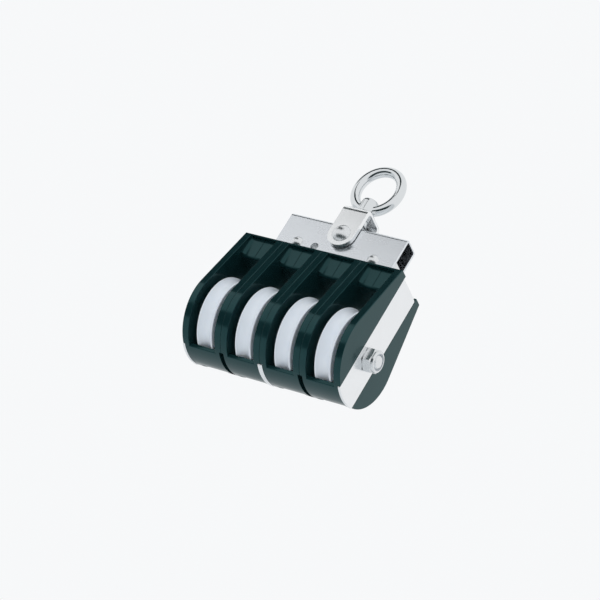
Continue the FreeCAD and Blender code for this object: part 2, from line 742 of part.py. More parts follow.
def make_sheave(index):
    """One sheave: flanges, rope groove, web and hub."""
    half = "(%s / 2 - sheave_side_gap)" % WINDOW
    flange = "(%s / 2 - sheave_side_gap - flange_inset)" % WINDOW
    bore = "(sleeve_diameter / 2 + sheave_clearance)"
    throat = "(%s - flange_flat)" % flange
    groove = "((%s) ^ 2 + groove_depth ^ 2) / (2 * groove_depth)" % throat
    rim = "(%s - flange_round)" % SHEAVE
    crown = "(%s - flange_round)" % flange
    web = "(%s - web_inset)" % half
    right = [
        (half, bore),
        (half, "hub_radius"),
        (web, "hub_radius + web_slope"),
        (web, WEB + " - web_slope"),
        (flange, WEB),
        (flange, rim),
        (crown, SHEAVE, "flange_round", "left"),
        (throat, SHEAVE),
    ]
    left = [
        ("-" + throat, SHEAVE, groove, "right"),
        ("-" + crown, SHEAVE),
        ("-" + flange, rim, "flange_round", "left"),
        ("-" + flange, WEB),
        ("-" + web, WEB + " - web_slope"),
        ("-" + web, "hub_radius + web_slope"),
        ("-" + half, "hub_radius"),
        ("-" + half, bore),
    ]
    turned("sheave_%d" % (index + 1), "XZ_Plane", "H_Axis", right + left, x=shell_middle(index), z=AXLE)


def make_sleeve(index):
    """Steel sleeve between the cheeks, on the axle bolt."""
    half = "(%s / 2)" % WINDOW
    inner = "axle_diameter / 2 + axle_clearance"
    corners = rectangle("-" + half, half, inner, "sleeve_diameter / 2")
    turned("bearing_sleeve_%d" % (index + 1), "XZ_Plane", "H_Axis", corners, x=shell_middle(index), z=AXLE)


def chamfer_hexagon(body, name, place, inward):
    """Cut a hexagon's corners at one end; inward is 1 or -1, the way into the piece."""
    flat = "hex_flats / 2"
    far = "hex_flats"
    slope = "hex_chamfer / (2 / sqrt(3) - 1) / (hex_flats / 2)"
    reach = "(%s - %s) * %s" % (far, flat, slope)
    inner = "%s + %d * %s" % (place, inward, reach)
    outer = "%s - %d * hex_flats" % (place, inward)
    corners = [(place, flat), (inner, far), (outer, far), (outer, flat)]
    spin(body, "Groove", drawing(body, name, "XZ_Plane", corners), "H_Axis")


def make_axle_bolt():
    """Hexagon bolt through all shells, its head on the left strap."""
    body = new_body("axle_bolt", z=AXLE)
    seat = "(-%s)" % BLOCK_HALF
    head = "(%s - bolt_head_height)" % seat
    tip = "(%s + nut_height + bolt_end)" % BLOCK_HALF
    shank = "axle_diameter / 2"
    spin(body, "Revolution", drawing(body, "BoltShank", "XZ_Plane", [
        (head, "0"),
        (tip, "0"),
        (tip, shank + " - bolt_chamfer"),
        (tip + " - bolt_chamfer", shank),
        (seat, shank),
        (head, shank),
    ]), "H_Axis")
    hexagon_sketch = drawing(body, "BoltHexagon", "YZ_Plane", hexagon("hex_flats"))
    hexagon_sketch.setExpression("AttachmentOffset.Base.z", formula(seat))
    doc.recompute()
    one_way(body, "Pad", hexagon_sketch, "bolt_head_height", True)
    chamfer_hexagon(body, "BoltHeadChamfer", head, 1)


def make_lock_nut():
    """Hexagon nut with a rounded collar that holds a ring."""
    body = new_body("lock_nut", x=BLOCK_HALF, z=AXLE)
    one_way(body, "Pad", drawing(body, "NutHexagon", "YZ_Plane", hexagon("hex_flats")),
            "nut_hex_height", False)
    chamfer_hexagon(body, "NutOuterChamfer", "nut_hex_height", -1)
    collar = "nut_collar / 2"
    spin(body, "Revolution", drawing(body, "NutCollar", "XZ_Plane", [
        ("nut_hex_height / 2", "0"),
        ("nut_height", "0"),
        ("nut_height", collar + " - nut_collar_round"),
        ("nut_height - nut_collar_round", collar, "nut_collar_round", "left"),
        ("nut_hex_height / 2", collar),
    ]), "H_Axis")
    bore = "axle_diameter / 2 + fast_clearance"
    pocket = "nut_height - nut_lip - insert_height"
    spin(body, "Groove", drawing(body, "NutBore", "XZ_Plane", [
        ("-nut_height", "0"),
        ("nut_height * 2", "0"),
        ("nut_height * 2", "nut_lip_bore / 2"),
        ("nut_height - nut_lip", "nut_lip_bore / 2"),
        ("nut_height - nut_lip", "insert_diameter / 2"),
        (pocket, "insert_diameter / 2"),
        (pocket, bore),
        ("-nut_height", bore),
    ]), "H_Axis")


def make_nut_insert():
    """Ring that grips the thread, held under the nut's lip."""
    low, high = "nut_height - nut_lip - insert_height", "nut_height - nut_lip"
    corners = rectangle(low, high, "axle_diameter / 2 + fast_clearance",
                        "insert_diameter / 2 - fast_clearance")
    turned("lock_nut_insert", "XZ_Plane", "H_Axis", corners, x=BLOCK_HALF, z=AXLE)


def check_document():
    """Stop if any object failed or any sub-part is not a valid solid."""
    for item in doc.Objects:
        if {"Invalid", "Error"} & set(item.State):
            raise RuntimeError("%s failed" % item.Label)
    for part in PARTS:
        if part.Shape.isNull() or not part.Shape.isValid() or not part.Shape.Solids:
            raise RuntimeError("%s has no valid shape" % part.Label)


fill_sheet()
make_swivel_eye()
make_eye_washer()
make_clevis()
make_clevis_rivet()
make_head_channel()
make_pivot_sleeve()
make_tie_bar()
make_head_rivets()
make_strap_screws()
make_strap("strap_left", -1)
make_strap("strap_right", 1)
for shell_index in range(SHELL_COUNT):
    make_shell(shell_index)
    make_sheave(shell_index)
    make_sleeve(shell_index)
make_axle_bolt()
make_lock_nut()
make_nut_insert()
doc.recompute()
check_document()
for part in PARTS:
    part.Shape.exportStep("parts/%s.step" % part.Label)
    print("%-18s %10.1f mm3" % (part.Label, part.Shape.Volume))
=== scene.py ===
import logging
import math
from collections.abc import Callable, Sequence
from dataclasses import dataclass
from enum import Enum

import bmesh
import bpy
from mathutils import Euler, Matrix, Vector


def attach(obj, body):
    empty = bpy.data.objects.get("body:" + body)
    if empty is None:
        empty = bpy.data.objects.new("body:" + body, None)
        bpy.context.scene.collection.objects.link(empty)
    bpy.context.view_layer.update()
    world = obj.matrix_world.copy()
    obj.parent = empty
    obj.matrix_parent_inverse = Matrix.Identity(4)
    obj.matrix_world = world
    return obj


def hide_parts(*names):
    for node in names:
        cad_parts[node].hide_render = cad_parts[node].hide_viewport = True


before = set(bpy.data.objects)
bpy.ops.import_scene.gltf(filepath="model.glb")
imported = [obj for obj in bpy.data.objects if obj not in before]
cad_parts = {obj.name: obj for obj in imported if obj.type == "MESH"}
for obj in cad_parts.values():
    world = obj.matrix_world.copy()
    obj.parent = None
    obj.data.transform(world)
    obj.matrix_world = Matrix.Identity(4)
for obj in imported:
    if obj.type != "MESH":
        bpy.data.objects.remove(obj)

# Looks of a four-sheave rope block with a swivel eye. The workbench, the sections and
# every size below are in millimetres from the centre of the eye's ring. A finished
# piece is scaled to the frame's metres, with its place in its mesh.

LOG = logging.getLogger("rope_block")
MM = 0.001
Pair = tuple[float, float]
Triple = tuple[float, float, float]
EdgeTest = Callable[[Vector, Vector], bool]
Piece = bpy.types.Object

# Centres of the four shells and sheaves along the axle.
PLACES = (-39.75, -13.25, 13.25, 39.75)
# Depth of a tool that passes right through a narrow piece.
THROUGH = 60.0
# Reach of a cutting outline, well past every piece.
FAR = 90.0
# Within this a point counts as lying on a plane.
NEAR = 0.01


@dataclass(frozen=True)
class Levels:
    """Heights of the block's main levels under the eye's centre."""

    clevis_top: float = -18.0
    pivot: float = -39.0
    strap_top: float = -57.0
    axle: float = -107.5


LEVELS = Levels()


class Plane(Enum):
    """Plane of a section: its first axis, its second axis and the way it is thickened."""

    XZ = ((1.0, 0.0, 0.0), (0.0, 0.0, 1.0), (0.0, 1.0, 0.0))
    YZ = ((0.0, 1.0, 0.0), (0.0, 0.0, 1.0), (1.0, 0.0, 0.0))
    XY = ((1.0, 0.0, 0.0), (0.0, 1.0, 0.0), (0.0, 0.0, 1.0))

    def point(self, across: float, up: float, deep: float) -> Vector:
        """Give the point at three measures along the plane's own axes."""
        first, second, third = (Vector(axis) for axis in self.value)
        return first * across + second * up + third * deep


class Turning(Enum):
    """Axis of a turned piece, with the direction in which its radius is drawn."""

    ALONG_X = ((1.0, 0.0, 0.0), (0.0, 0.0, 1.0))
    ALONG_Y = ((0.0, 1.0, 0.0), (0.0, 0.0, 1.0))
    ALONG_Z = ((0.0, 0.0, 1.0), (1.0, 0.0, 0.0))


class Grain(Enum):
    """Way a sheet was ground, as the stretch of its grain along X, Y and Z."""

    ALONG_X = (30.0, 1100.0, 1100.0)
    ALONG_Z = (1100.0, 1100.0, 30.0)
    NONE = (420.0, 420.0, 420.0)


def arc(centre: Pair, radius: float, start: float, end: float, steps: int) -> list[Pair]:
    """Give points on an arc.

    Args:
        centre: Centre of the arc in its plane.
        radius: Radius of the arc.
        start: Angle of the first point, in degrees.
        end: Angle of the last point, in degrees.
        steps: Number of equal steps between them.

    Returns:
        The points from start to end, both among them.
    """
    points = []
    for step in range(steps + 1):
        angle = math.radians(start + (end - start) * step / steps)
        points.append((centre[0] + radius * math.cos(angle), centre[1] + radius * math.sin(angle)))
    return points


def dome(head: float, height: float, base: float, steps: int) -> list[Pair]:
    """Give the half section of a rivet's dome, from its rim to its crown.

    Args:
        head: Width of the dome.
        height: Height of the dome.
        base: Place of the rim along the rivet's axis.
        steps: Number of equal steps from the rim to the crown.

    Returns:
        Points as place along the axis and radius.
    """
    radius = (head * head / 4 + height * height) / (2 * height)
    rim = math.degrees(math.atan2(head / 2, radius - height))
    points = []
    for step in range(steps + 1):
        angle = math.radians(rim * (1 - step / steps))
        points.append((base + height - radius + radius * math.cos(angle), radius * math.sin(angle)))
    return points


def eased(corners: Sequence[Pair], ease: float, steps: int = 4) -> list[Pair]:
    """Round the inner corners of an open line.

    Args:
        corners: Corners of the line; the first and the last stay sharp.
        ease: How far along both edges a corner's rounding reaches.
        steps: Number of steps round a corner.

    Returns:
        The points of the eased line.
    """
    points = [corners[0]]
    for before, corner, after in zip(corners, corners[1:], corners[2:]):
        middle = Vector(corner)
        start = middle + (Vector(before) - middle).normalized() * ease
        end = middle + (Vector(after) - middle).normalized() * ease
        for step in range(steps + 1):
            share = step / steps
            spot = start.lerp(middle, share).lerp(middle.lerp(end, share), share)
            points.append((spot.x, spot.y))
    return [*points, corners[-1]]


def flipped(points: Sequence[Pair]) -> list[Pair]:
    """Give the mirror image of a line on the other side of its second axis, run backwards."""
    return [(-across, up) for across, up in reversed(points)]


class Bench:
    """Hand tools for meshes in millimetres."""

    @staticmethod
    def clear() -> None:
        """Leave edit mode and put down everything that is selected."""
        if bpy.context.mode != "OBJECT":
            bpy.ops.object.mode_set(mode="OBJECT")
        bpy.ops.object.select_all(action="DESELECT")

    @classmethod
    def hold(cls, piece: Piece) -> None:
        """Select one piece alone and make it the active one."""
        cls.clear()
        piece.select_set(True)
        bpy.context.view_layer.objects.active = piece

    @classmethod
    def open(cls, piece: Piece, kind: str = "VERT", everything: bool = False) -> None:
        """Open a piece in edit mode.

        Args:
            piece: The piece to work on.
            kind: Kind of element that is selected, VERT, EDGE or FACE.
            everything: Whether all of it is selected, or nothing.
        """
        cls.hold(piece)
        bpy.ops.object.mode_set(mode="EDIT")
        bpy.ops.mesh.select_mode(type=kind)
        bpy.ops.mesh.select_all(action="SELECT" if everything else "DESELECT")

    @classmethod
    def trace(cls, name: str, points: Sequence[Vector]) -> Piece:
        """Draw a line of edges by extruding one vertex from point to point.

        Args:
            name: Name of the new piece.
            points: Corners of the line, in order.

        Returns:
            The new piece, which holds the line alone.
        """
        cls.clear()
        bpy.ops.mesh.primitive_plane_add(size=1.0, location=points[0])
        piece = bpy.context.object
        piece.name = name
        piece.data.name = name
        bpy.ops.object.transform_apply(location=True, rotation=True, scale=True)
        cls.open(piece, everything=True)
        bpy.ops.mesh.merge(type="CENTER")
        for start, end in zip(points, points[1:]):
            bpy.ops.mesh.extrude_region_move(TRANSFORM_OT_translate={"value": end - start})
        cls.clear()
        return piece

    @classmethod
    def prism(cls, name: str, plane: Plane, outline: Sequence[Pair], depth: float,
              middle: Triple = (0.0, 0.0, 0.0)) -> Piece:
        """Fill a closed outline and extrude it to both sides of its plane.

        Args:
            name: Name of the new piece.
            plane: Plane of the outline.
            outline: Corners of the outline, in order.
            depth: Full thickness across the plane.
            middle: Place of the outline's own origin.

        Returns:
            The new solid piece.
        """
        shift = Vector(middle)
        corners = [shift + plane.point(across, up, -depth / 2) for across, up in outline]
        piece = cls.trace(name, corners)
        cls.open(piece, everything=True)
        bpy.ops.mesh.edge_face_add()
        bpy.ops.mesh.extrude_region_move(TRANSFORM_OT_translate={"value": plane.point(0, 0, depth)})
        bpy.ops.mesh.select_all(action="SELECT")
        bpy.ops.mesh.normals_make_consistent(inside=False)
        cls.clear()
        return piece

    @classmethod
    def lathe(cls, name: str, turning: Turning, section: Sequence[Pair], centre: Triple,
              steps: int = 96, ring: bool = False) -> Piece:
        """Turn a half section about an axis.

        Args:
            name: Name of the new piece.
            turning: Axis of the piece.
            section: Points as place along the axis and radius.
            centre: Point on the axis from which places are measured.
            steps: Number of steps in the full turn.
            ring: Whether the section closes on itself, clear of the axis.

        Returns:
            The new solid piece.
        """
        axis, side = (Vector(direction) for direction in turning.value)
        points = [Vector(centre) + axis * place + side * radius for place, radius in section]
        piece = cls.trace(name, points + points[:1] if ring else points)
        cls.open(piece, everything=True)
        bpy.ops.mesh.spin(steps=steps, angle=2 * math.pi, center=centre, axis=axis)
        bpy.ops.mesh.select_all(action="SELECT")
        bpy.ops.mesh.remove_doubles(threshold=0.0005)
        bpy.ops.mesh.normals_make_consistent(inside=False)
        cls.clear()
        return piece

    @classmethod
    def apply(cls, piece: Piece, kind: str, **settings: object) -> None:
        """Put one modifier on a piece and apply it.

        Args:
            piece: The piece to change.
            kind: Kind of modifier.
            **settings: The modifier's own settings.
        """
        cls.hold(piece)
        modifier = piece.modifiers.new(kind.title(), kind)
        for name, value in settings.items():
            setattr(modifier, name, value)
        bpy.ops.object.modifier_apply(modifier=modifier.name)

    @classmethod
    def carve(cls, piece: Piece, tool: Piece, way: str = "DIFFERENCE") -> None:
        """Cut a tool out of a piece, or join the two, and clear the tool away.

        Args:
            piece: The piece to change.
            tool: The shape to cut with.
            way: DIFFERENCE, UNION or INTERSECT.
        """
        cls.apply(piece, "BOOLEAN", operation=way, solver="EXACT", object=tool)
        bpy.data.objects.remove(tool)

    @classmethod
    def drill(cls, piece: Piece, turning: Turning, centre: Triple, diameter: float,
              depth: float = THROUGH) -> None:
        """Drill a round hole centred on a point.

        Args:
            piece: The piece to drill.
            turning: Direction of the hole.
            centre: Middle of the hole's length.
            diameter: Width of the hole.
            depth: Length of the hole.
        """
        half = depth / 2
        section = [(-half, 0.0), (-half, diameter / 2), (half, diameter / 2), (half, 0.0)]
        cls.carve(piece, cls.lathe("drill", turning, section, centre, 48))

    @classmethod
    def round_edges(cls, piece: Piece, radius: float, steps: int, test: EdgeTest) -> None:
        """Round the edges whose two ends pass a test.

        Args:
            piece: The piece to change.
            radius: Radius of the rounding.
            steps: Number of faces across it.
            test: Takes the two ends of an edge.
        """
        cls.open(piece, "EDGE")
        mesh = bmesh.from_edit_mesh(piece.data)
        for edge in mesh.edges:
            edge.select = test(edge.verts[0].co, edge.verts[1].co)
        mesh.select_flush_mode()
        bmesh.update_edit_mesh(piece.data)
        bpy.ops.mesh.bevel(offset=radius, segments=steps, affect="EDGES", clamp_overlap=False)
        cls.clear()

    @classmethod
    def soften(cls, piece: Piece, width: float, angle: float = 40.0, steps: int = 3) -> None:
        """Take the sharpness off every edge that turns by more than an angle."""
        cls.apply(piece, "BEVEL", width=width, segments=steps, limit_method="ANGLE",
                  angle_limit=math.radians(angle), use_clamp_overlap=False)

    @classmethod
    def duplicate(cls, piece: Piece, name: str, shift: Triple) -> Piece:
        """Copy a piece with its own mesh and move the copy.

        Args:
            piece: The piece to copy, already in metres.
            name: Name of the copy.
            shift: Way from the piece to its copy, in millimetres.

        Returns:
            The copy.
        """
        copy = piece.copy()
        copy.data = piece.data.copy()
        copy.name = name
        copy.data.name = name
        bpy.context.scene.collection.objects.link(copy)
        copy.data.transform(Matrix.Translation(Vector(shift) * MM))
        return copy

    @classmethod
    def finish(cls, piece: Piece, smooth: float = 32.0) -> Piece:
        """Scale a piece to metres and shade it.

        Args:
            piece: The piece in millimetres.
            smooth: Angle below which neighbouring faces shade as one, in degrees.

        Returns:
            The same piece, ready for the frame.
        """
        cls.hold(piece)
        bpy.ops.object.transform_apply(location=True, rotation=True, scale=True)
        piece.scale = (MM, MM, MM)
        bpy.ops.object.transform_apply(location=True, rotation=True, scale=True)
        bpy.ops.object.shade_smooth_by_angle(angle=math.radians(smooth))
        cls.apply(piece, "WEIGHTED_NORMAL", keep_sharp=True, weight=80)
        cls.clear()
        return piece


class Wire:
    """An output in a material's tree that takes part in sums."""

    def __init__(self, graph: "Graph", socket: bpy.types.NodeSocket) -> None:
        """Keep the tree and the socket."""
        self.graph = graph
        self.socket = socket

    def math(self, operation: str, first: "Wire | float", second: "Wire | float" = 0.0) -> "Wire":
        """Add one Math node to the tree and give its result."""
        return self.graph.add("ShaderNodeMath", {"operation": operation}, {0: first, 1: second})

    def __add__(self, other: "Wire | float") -> "Wire":
        """Add."""
        return self.math("ADD", self, other)

    def __sub__(self, other: "Wire | float") -> "Wire":
        """Take away."""
        return self.math("SUBTRACT", self, other)

    def __rsub__(self, other: float) -> "Wire":
        """Take away from a number."""
        return self.math("SUBTRACT", other, self)

    def __mul__(self, other: "Wire | float") -> "Wire":
        """Multiply."""
        return self.math("MULTIPLY", self, other)

    __radd__ = __add__
    __rmul__ = __mul__


class Graph:
    """Node tree of one material."""

    def __init__(self, name: str) -> None:
        """Start an empty material with a name."""
        self.material = bpy.data.materials.new(name)
        self.material.use_nodes = True
        self.tree = self.material.node_tree
        self.tree.nodes.clear()

    @classmethod
    def of_tree(cls, tree: bpy.types.NodeTree) -> "Graph":
        """Start on a tree that belongs to no material, such as the world's."""
        graph = cls.__new__(cls)
        graph.tree = tree
        tree.nodes.clear()
        return graph

    def add(self, kind: str, settings: dict | None = None, inputs: dict | None = None,
            output: int | str = 0) -> Wire:
        """Add a node.

        Args:
            kind: Type of the node.
            settings: The node's own settings, which are set first; stops are a ramp's.
            inputs: Values or wires of its sockets.
            output: Which of its outputs is wanted.

        Returns:
            That output as a wire.
        """
        node = self.tree.nodes.new(kind)
        for name, value in (settings or {}).items():
            if name == "stops":
                self.set_stops(node.color_ramp, value)
            else:
                setattr(node, name, value)
        for key, value in (inputs or {}).items():
            if isinstance(value, Wire):
                self.tree.links.new(value.socket, node.inputs[key])
            else:
                node.inputs[key].default_value = value
        return Wire(self, node.outputs[output])

    @staticmethod
    def set_stops(ramp: bpy.types.ColorRamp, stops: Sequence[tuple[float, Triple]]) -> None:
        """Give a colour ramp its stops, each a place and a colour."""
        while len(ramp.elements) < len(stops):
            ramp.elements.new(1.0)
        for element, (place, colour) in zip(ramp.elements, stops):
            element.position = place
            element.color = (*colour, 1.0)

    def spot(self, scale: Triple, shift: Triple = (0.0, 0.0, 0.0)) -> Wire:
        """Give the piece's own coordinates, moved and then stretched."""
        place = self.add("ShaderNodeTexCoord", output="Object")
        return self.add("ShaderNodeMapping", {"vector_type": "POINT"},
                        {"Vector": place, "Location": shift, "Scale": scale})

    def noise(self, spot: Wire, scale: float, detail: float = 3.0) -> Wire:
        """Give soft noise from 0 to 1."""
        return self.add("ShaderNodeTexNoise", {"noise_dimensions": "3D"},
                        {"Vector": spot, "Scale": scale, "Detail": detail, "Roughness": 0.55})

    def cloud(self, scale: float, detail: float = 3.0) -> Wire:
        """Give soft noise on the piece's own coordinates."""
        return self.noise(self.spot((1.0, 1.0, 1.0)), scale, detail)

    def tint(self, mask: Wire, low: Triple, high: Triple) -> Wire:
        """Mix two colours by a mask."""
        return self.add("ShaderNodeMix", {"data_type": "RGBA"},
                        {0: mask, 6: (*low, 1.0), 7: (*high, 1.0)}, 2)

    def relief(self, height: Wire, depth: float) -> Wire:
        """Turn a height from 0 to 1 into a surface relief of a depth in metres."""
        return self.add("ShaderNodeBump", None, {"Height": height, "Distance": depth, "Strength": 1.0})

    def close(self, **inputs: object) -> bpy.types.Material:
        """Give the material its shader from values and wires, named with underscores."""
        named = {name.replace("_", " "): value for name, value in inputs.items()}
        shader = self.add("ShaderNodeBsdfPrincipled", None, named)
        self.add_output(shader)
        return self.material

    def add_output(self, shader: Wire) -> None:
        """Join a shader to the material's output."""
        node = self.tree.nodes.new("ShaderNodeOutputMaterial")
        self.tree.links.new(shader.socket, node.inputs["Surface"])


@dataclass(frozen=True)
class Finish:
    """Base of every finish: its name and the record's slot it belongs to."""

    name: str
    slot: str

    def draw(self, graph: Graph) -> bpy.types.Material:
        """Build the material; each kind of finish has its own way."""
        raise NotImplementedError(self.name)

    def material(self) -> bpy.types.Material:
        """Give the material, which is built the first time."""
        return bpy.data.materials.get(self.name) or self.draw(Graph(self.name))


@dataclass(frozen=True)
class SteelFinish(Finish):
    """Stainless steel, ground along a grain or polished."""

    colour: Triple = (0.66, 0.67, 0.68)
    shade: Triple = (0.58, 0.60, 0.61)
    roughness: float = 0.22
    spread: float = 0.10
    grain: Grain = Grain.NONE
    grain_depth: float = 0.000004

    def draw(self, graph: Graph) -> bpy.types.Material:
        """Build the material from a fine grain and broad, faint clouds."""
        streak = graph.noise(graph.spot(self.grain.value), 1.0, 4.0)
        cloud = graph.cloud(110.0)
        rough = self.roughness + self.spread * (cloud - 0.5) + self.spread * (streak - 0.5)
        return graph.close(
            Base_Color=graph.tint(cloud * 0.6 + streak * 0.4, self.shade, self.colour),
            Metallic=1.0,
            Roughness=rough,
            Normal=graph.relief(streak, self.grain_depth),
        )


@dataclass(frozen=True)
class MouldedFinish(Finish):
    """Glossy moulded black plastic with a cold cast; its gloss carries a painted teal tint that stands in
    for cold light in its reflections.
    """

    colour: Triple = (0.006, 0.026, 0.028)
    shade: Triple = (0.003, 0.015, 0.017)
    # Painted teal tint of every reflection, standing in for cold light in the surroundings.
    painted_reflection_tint: Triple = (0.38, 0.92, 0.95)
    roughness: float = 0.17
    spread: float = 0.14

    def draw(self, graph: Graph) -> bpy.types.Material:
        """Build the material from a fine skin, flow lines along Z and faint handling wear."""
        skin = graph.cloud(1500.0, 2.0)
        flow = graph.noise(graph.spot((240.0, 240.0, 30.0)), 1.0, 2.0)
        wear = graph.cloud(160.0, 5.0)
        rough = self.roughness + self.spread * (flow - 0.5) + self.spread * (wear - 0.5)
        return graph.close(
            Base_Color=graph.tint(flow * 0.5 + wear * 0.5, self.shade, self.colour),
            Roughness=rough,
            IOR=1.50,
            # Reflections take the painted teal tint.
            Specular_Tint=(*self.painted_reflection_tint, 1.0),
            Normal=graph.relief(skin, 0.000005),
        )


@dataclass(frozen=True)
class AcetalFinish(Finish):
    """White acetal, turned, a little translucent."""

    colour: Triple = (0.87, 0.90, 0.95)
    shade: Triple = (0.80, 0.85, 0.92)
    roughness: float = 0.36
    translucence: float = 0.12

    def draw(self, graph: Graph) -> bpy.types.Material:
        """Build the material from turned rings about the axle and faint clouds."""
        centred = graph.spot((1.0, 1.0, 1.0), (0.0, 0.0, -LEVELS.axle * MM))
        rings = graph.add("ShaderNodeTexWave",
                          {"wave_type": "RINGS", "rings_direction": "X", "wave_profile": "SIN"},
                          {"Vector": centred, "Scale": 900.0, "Distortion": 1.2, "Detail": 2.0,
                           "Detail Scale": 2.0}, "Fac")
        cloud = graph.cloud(90.0)
        return graph.close(
            Base_Color=graph.tint(cloud, self.shade, self.colour),
            Roughness=self.roughness + 0.10 * (cloud - 0.5) + 0.05 * (rings - 0.5),
            Subsurface_Weight=self.translucence,
            Subsurface_Radius=(0.002, 0.0022, 0.0026),
            Subsurface_Scale=1.0,
            Normal=graph.relief(rings, 0.000004),
        )


EYE_STEEL = SteelFinish("polished_eye_steel", "eye_steel", (0.76, 0.78, 0.79), (0.70, 0.72, 0.73),
                        0.10, 0.06, Grain.NONE, 0.000003)
CLEVIS_STEEL = SteelFinish("ground_clevis_steel", "clevis_steel", (0.90, 0.91, 0.91),
                           (0.84, 0.85, 0.86), 0.22, 0.08, Grain.ALONG_Z)
CHANNEL_STEEL = SteelFinish("ground_channel_steel", "channel_steel", (0.80, 0.82, 0.85),
                            (0.73, 0.76, 0.79), 0.26, 0.08, Grain.ALONG_X)
STRAP_STEEL = SteelFinish("ground_strap_steel", "strap_steel", (0.88, 0.89, 0.90),
                          (0.82, 0.83, 0.84), 0.24, 0.08, Grain.ALONG_Z)
BRIGHT_STEEL = SteelFinish("bright_fastener_steel", "stainless", (0.78, 0.79, 0.80),
                           (0.70, 0.72, 0.73), 0.27, 0.08)
SHELL_BLACK = MouldedFinish("moulded_black_shell", "shell_black")
SHEAVE_WHITE = AcetalFinish("turned_white_acetal", "sheave_white")
INSERT_GREY = AcetalFinish("pale_nylon_insert", "insert_nylon", (0.50, 0.53, 0.56),
                           (0.42, 0.45, 0.48), 0.45, 0.05)


@dataclass
class SubAssembly:
    """Base of every sub-assembly: the body that it rides on."""

    body: str = "block"

    def hand_over(self, piece: Piece, finish: Finish, *nodes: str) -> None:
        """Give a new piece its finish and its body, and hide the CAD nodes it stands for.

        Args:
            piece: The finished piece, in metres.
            finish: Its finish.
            *nodes: The CAD nodes that it replaces.
        """
        piece.data.materials.clear()
        piece.data.materials.append(finish.material())
        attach(piece, self.body)
        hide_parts(*nodes)
        LOG.info("%s: %d faces, for %s", piece.name, len(piece.data.polygons), ", ".join(nodes))

    def paint(self, finish: Finish, *nodes: str) -> None:
        """Give CAD nodes that stay as they are their finish.

        Args:
            finish: The finish for all of them.
            *nodes: Names of the nodes.
        """
        for name in nodes:
            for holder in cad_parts[name].material_slots:
                holder.material = finish.material()
            LOG.info("%s: painted", name)


def folded(half: float, height: float, plate: float, bend: float, foot: float) -> list[Pair]:
    """Give the section of a sheet folded into an upside-down U.

    Args:
        half: Half of its outer width.
        height: Level of its top.
        plate: Thickness of the sheet.
        bend: Inside radius of its bends.
        foot: Level of its two feet.

    Returns:
        Corners of the closed section.
    """
    outer = bend + plate
    inside = arc((-half + outer, height - outer), bend, 180, 90, 6)
    outside = arc((half - outer, height - outer), outer, 0, 90, 8)
    return [(-half, foot), (-half + plate, foot), *inside, *flipped(inside),
            (half - plate, foot), (half, foot), *outside, *flipped(outside)]


@dataclass
class SwivelEye(SubAssembly):
    """Forged oval eye with its boss and peened shank."""

    body: str = "eye"
    half_width: float = 13.5
    half_height: float = 14.7
    wire: float = 6.2
    boss: float = 10.8
    boss_height: float = 10.0
    boss_round: float = 1.6
    play: float = 0.1
    shank: float = 7.4
    head: float = 9.6
    head_depth: float = 3.9
    head_height: float = 3.4
    head_round: float = 1.4

    def build_ring(self) -> Piece:
        """Sweep the round wire along an oval."""
        Bench.clear()
        bpy.ops.curve.primitive_bezier_circle_add(radius=1.0)
        ring = bpy.context.object
        ring.name = "swivel_eye_forging"
        ring.scale = (self.half_width, self.half_height, 1.0)
        bpy.ops.object.transform_apply(location=False, rotation=False, scale=True)
        ring.rotation_euler = (math.pi / 2, 0.0, 0.0)
        bpy.ops.object.transform_apply(location=False, rotation=True, scale=False)
        for knot in ring.data.splines[0].bezier_points:
            knot.radius = 1.0
        ring.data.resolution_u = 40
        ring.data.bevel_depth = self.wire / 2
        ring.data.bevel_resolution = 10
        bpy.ops.object.convert(target="MESH")
        Bench.open(ring, everything=True)
        bpy.ops.mesh.remove_doubles(threshold=0.001)
        bpy.ops.mesh.normals_make_consistent(inside=False)
        Bench.clear()
        return ring

    def build_stem(self) -> Piece:
        """Turn the boss, the shank and its peened end."""
        top, foot = LEVELS.clevis_top + self.boss_height, LEVELS.clevis_top + self.play
        seat = LEVELS.clevis_top - self.head_depth
        low = seat - self.head_height
        crown = arc((self.boss / 2 - self.boss_round, top - self.boss_round), self.boss_round, 90, 0, 8)
        peen = arc((self.head / 2 - self.head_round, low + self.head_round), self.head_round, 0, -90, 8)
        section = [(0.0, top), *crown, (self.boss / 2, foot), (self.shank / 2, foot),
                   (self.shank / 2, seat), (self.head / 2, seat), *peen, (0.0, low)]
        return Bench.lathe("stem", Turning.ALONG_Z, [(place, radius) for radius, place in section],
                           (0.0, 0.0, 0.0), 72)

    def build(self) -> None:
        """Blend ring and stem into one forging."""
        eye = self.build_ring()
        Bench.carve(eye, self.build_stem(), "UNION")
        Bench.apply(eye, "REMESH", mode="VOXEL", voxel_size=0.26, use_smooth_shade=True)
        Bench.apply(eye, "SMOOTH", factor=0.5, iterations=9)
        Bench.finish(eye, 80.0)
        self.hand_over(eye, EYE_STEEL, "swivel_eye")
        self.paint(BRIGHT_STEEL, "eye_washer")


